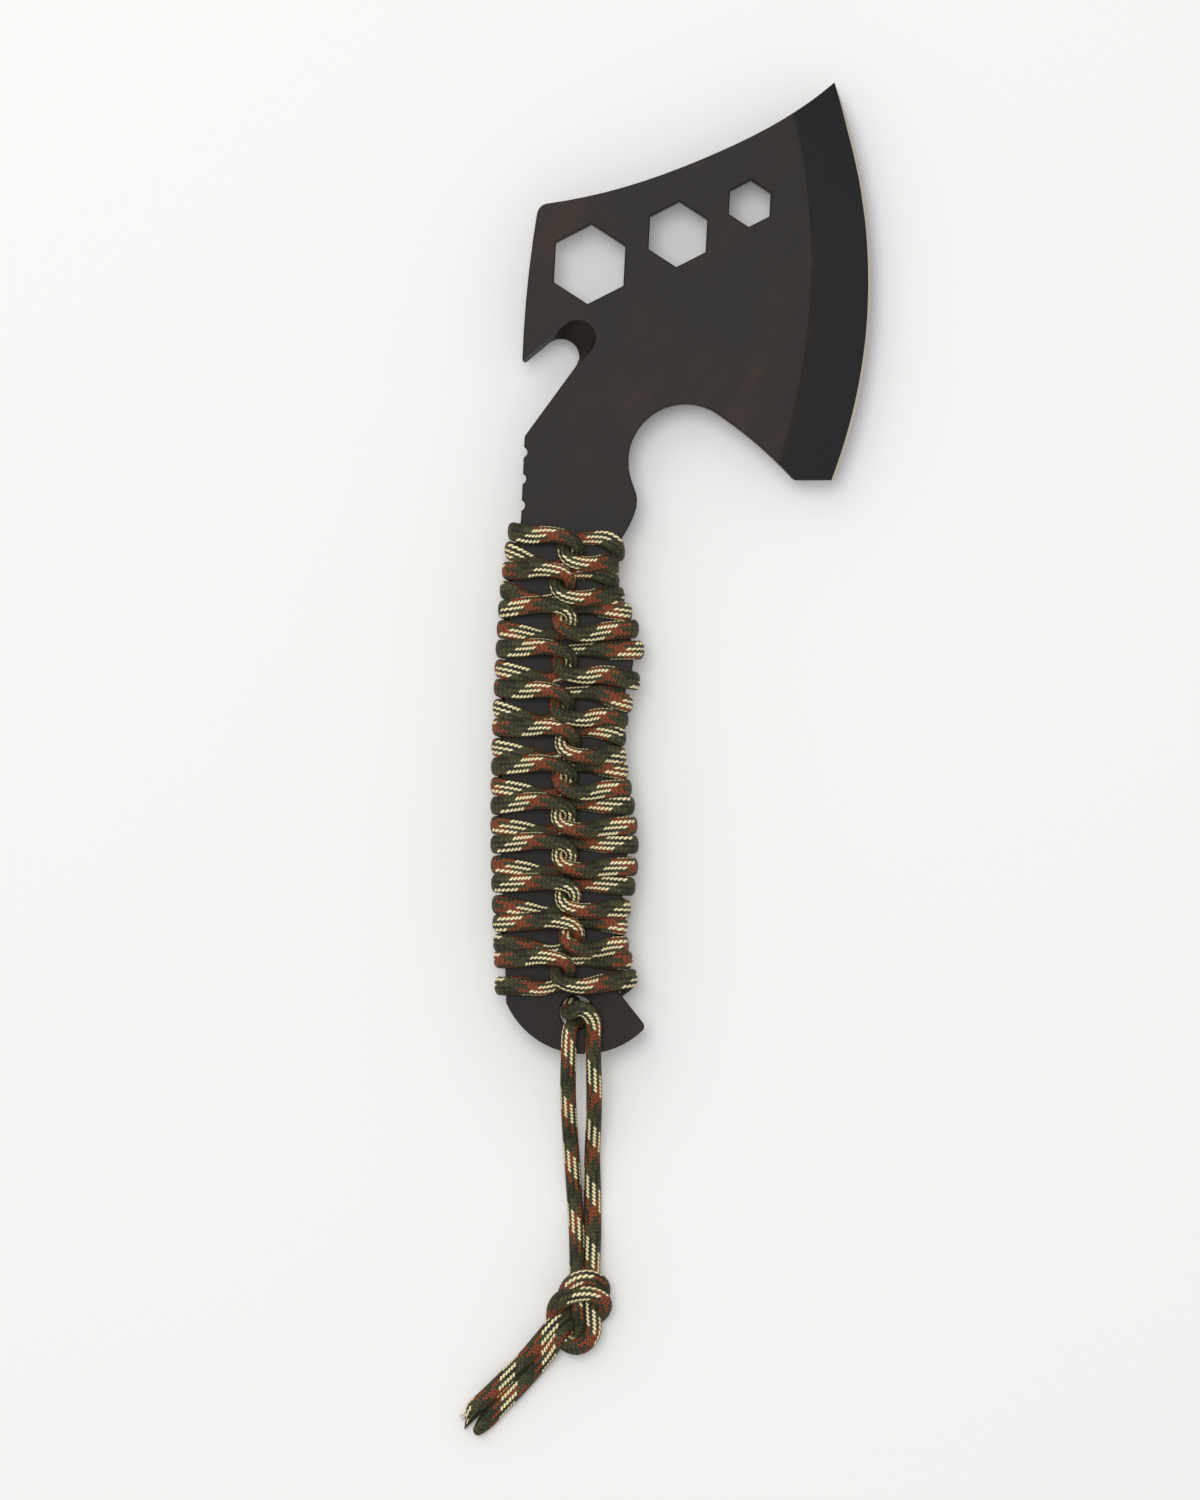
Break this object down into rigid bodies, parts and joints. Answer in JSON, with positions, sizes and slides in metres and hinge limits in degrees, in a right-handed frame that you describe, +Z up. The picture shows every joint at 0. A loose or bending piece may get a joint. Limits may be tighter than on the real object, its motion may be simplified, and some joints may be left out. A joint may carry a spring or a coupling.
{
  "type": "hatchet",
  "caption": "Full-tang steel camping hatchet with a bearded head, hexagon wrench openings and a hooked opener notch, its tang wrapped in cord that ends in a knotted lanyard.",
  "frame": {"origin": "middle of the underside of the plate and grip together, on the surface the hatchet lies on; the lanyard is not counted", "axes": "the plate lies flat: +Y from the pommel to the head, +X towards the cutting edge, +Z up out of the front face"},
  "size_m": [0.1026, 0.3335, 0.022],
  "materials": {
    "black_coated_steel": "satin black coating, bare and bright along the sharpened edge",
    "paracord": "braided nylon sheath in olive, rust brown and cream",
    "core_yarn": "pale twisted nylon yarns"
  },
  "bodies": {
    "root": {"blade_and_tang": "black_coated_steel", "grip_cord_back": "paracord", "grip_cord_front": "paracord", "lanyard_strand_left": "paracord", "lanyard_strand_right": "paracord", "lanyard_knot": "paracord", "lanyard_tail_left": "paracord", "lanyard_tail_right": "paracord", "core_yarns_left": "core_yarn", "core_yarns_right": "core_yarn"}
  },
  "joints": []
}
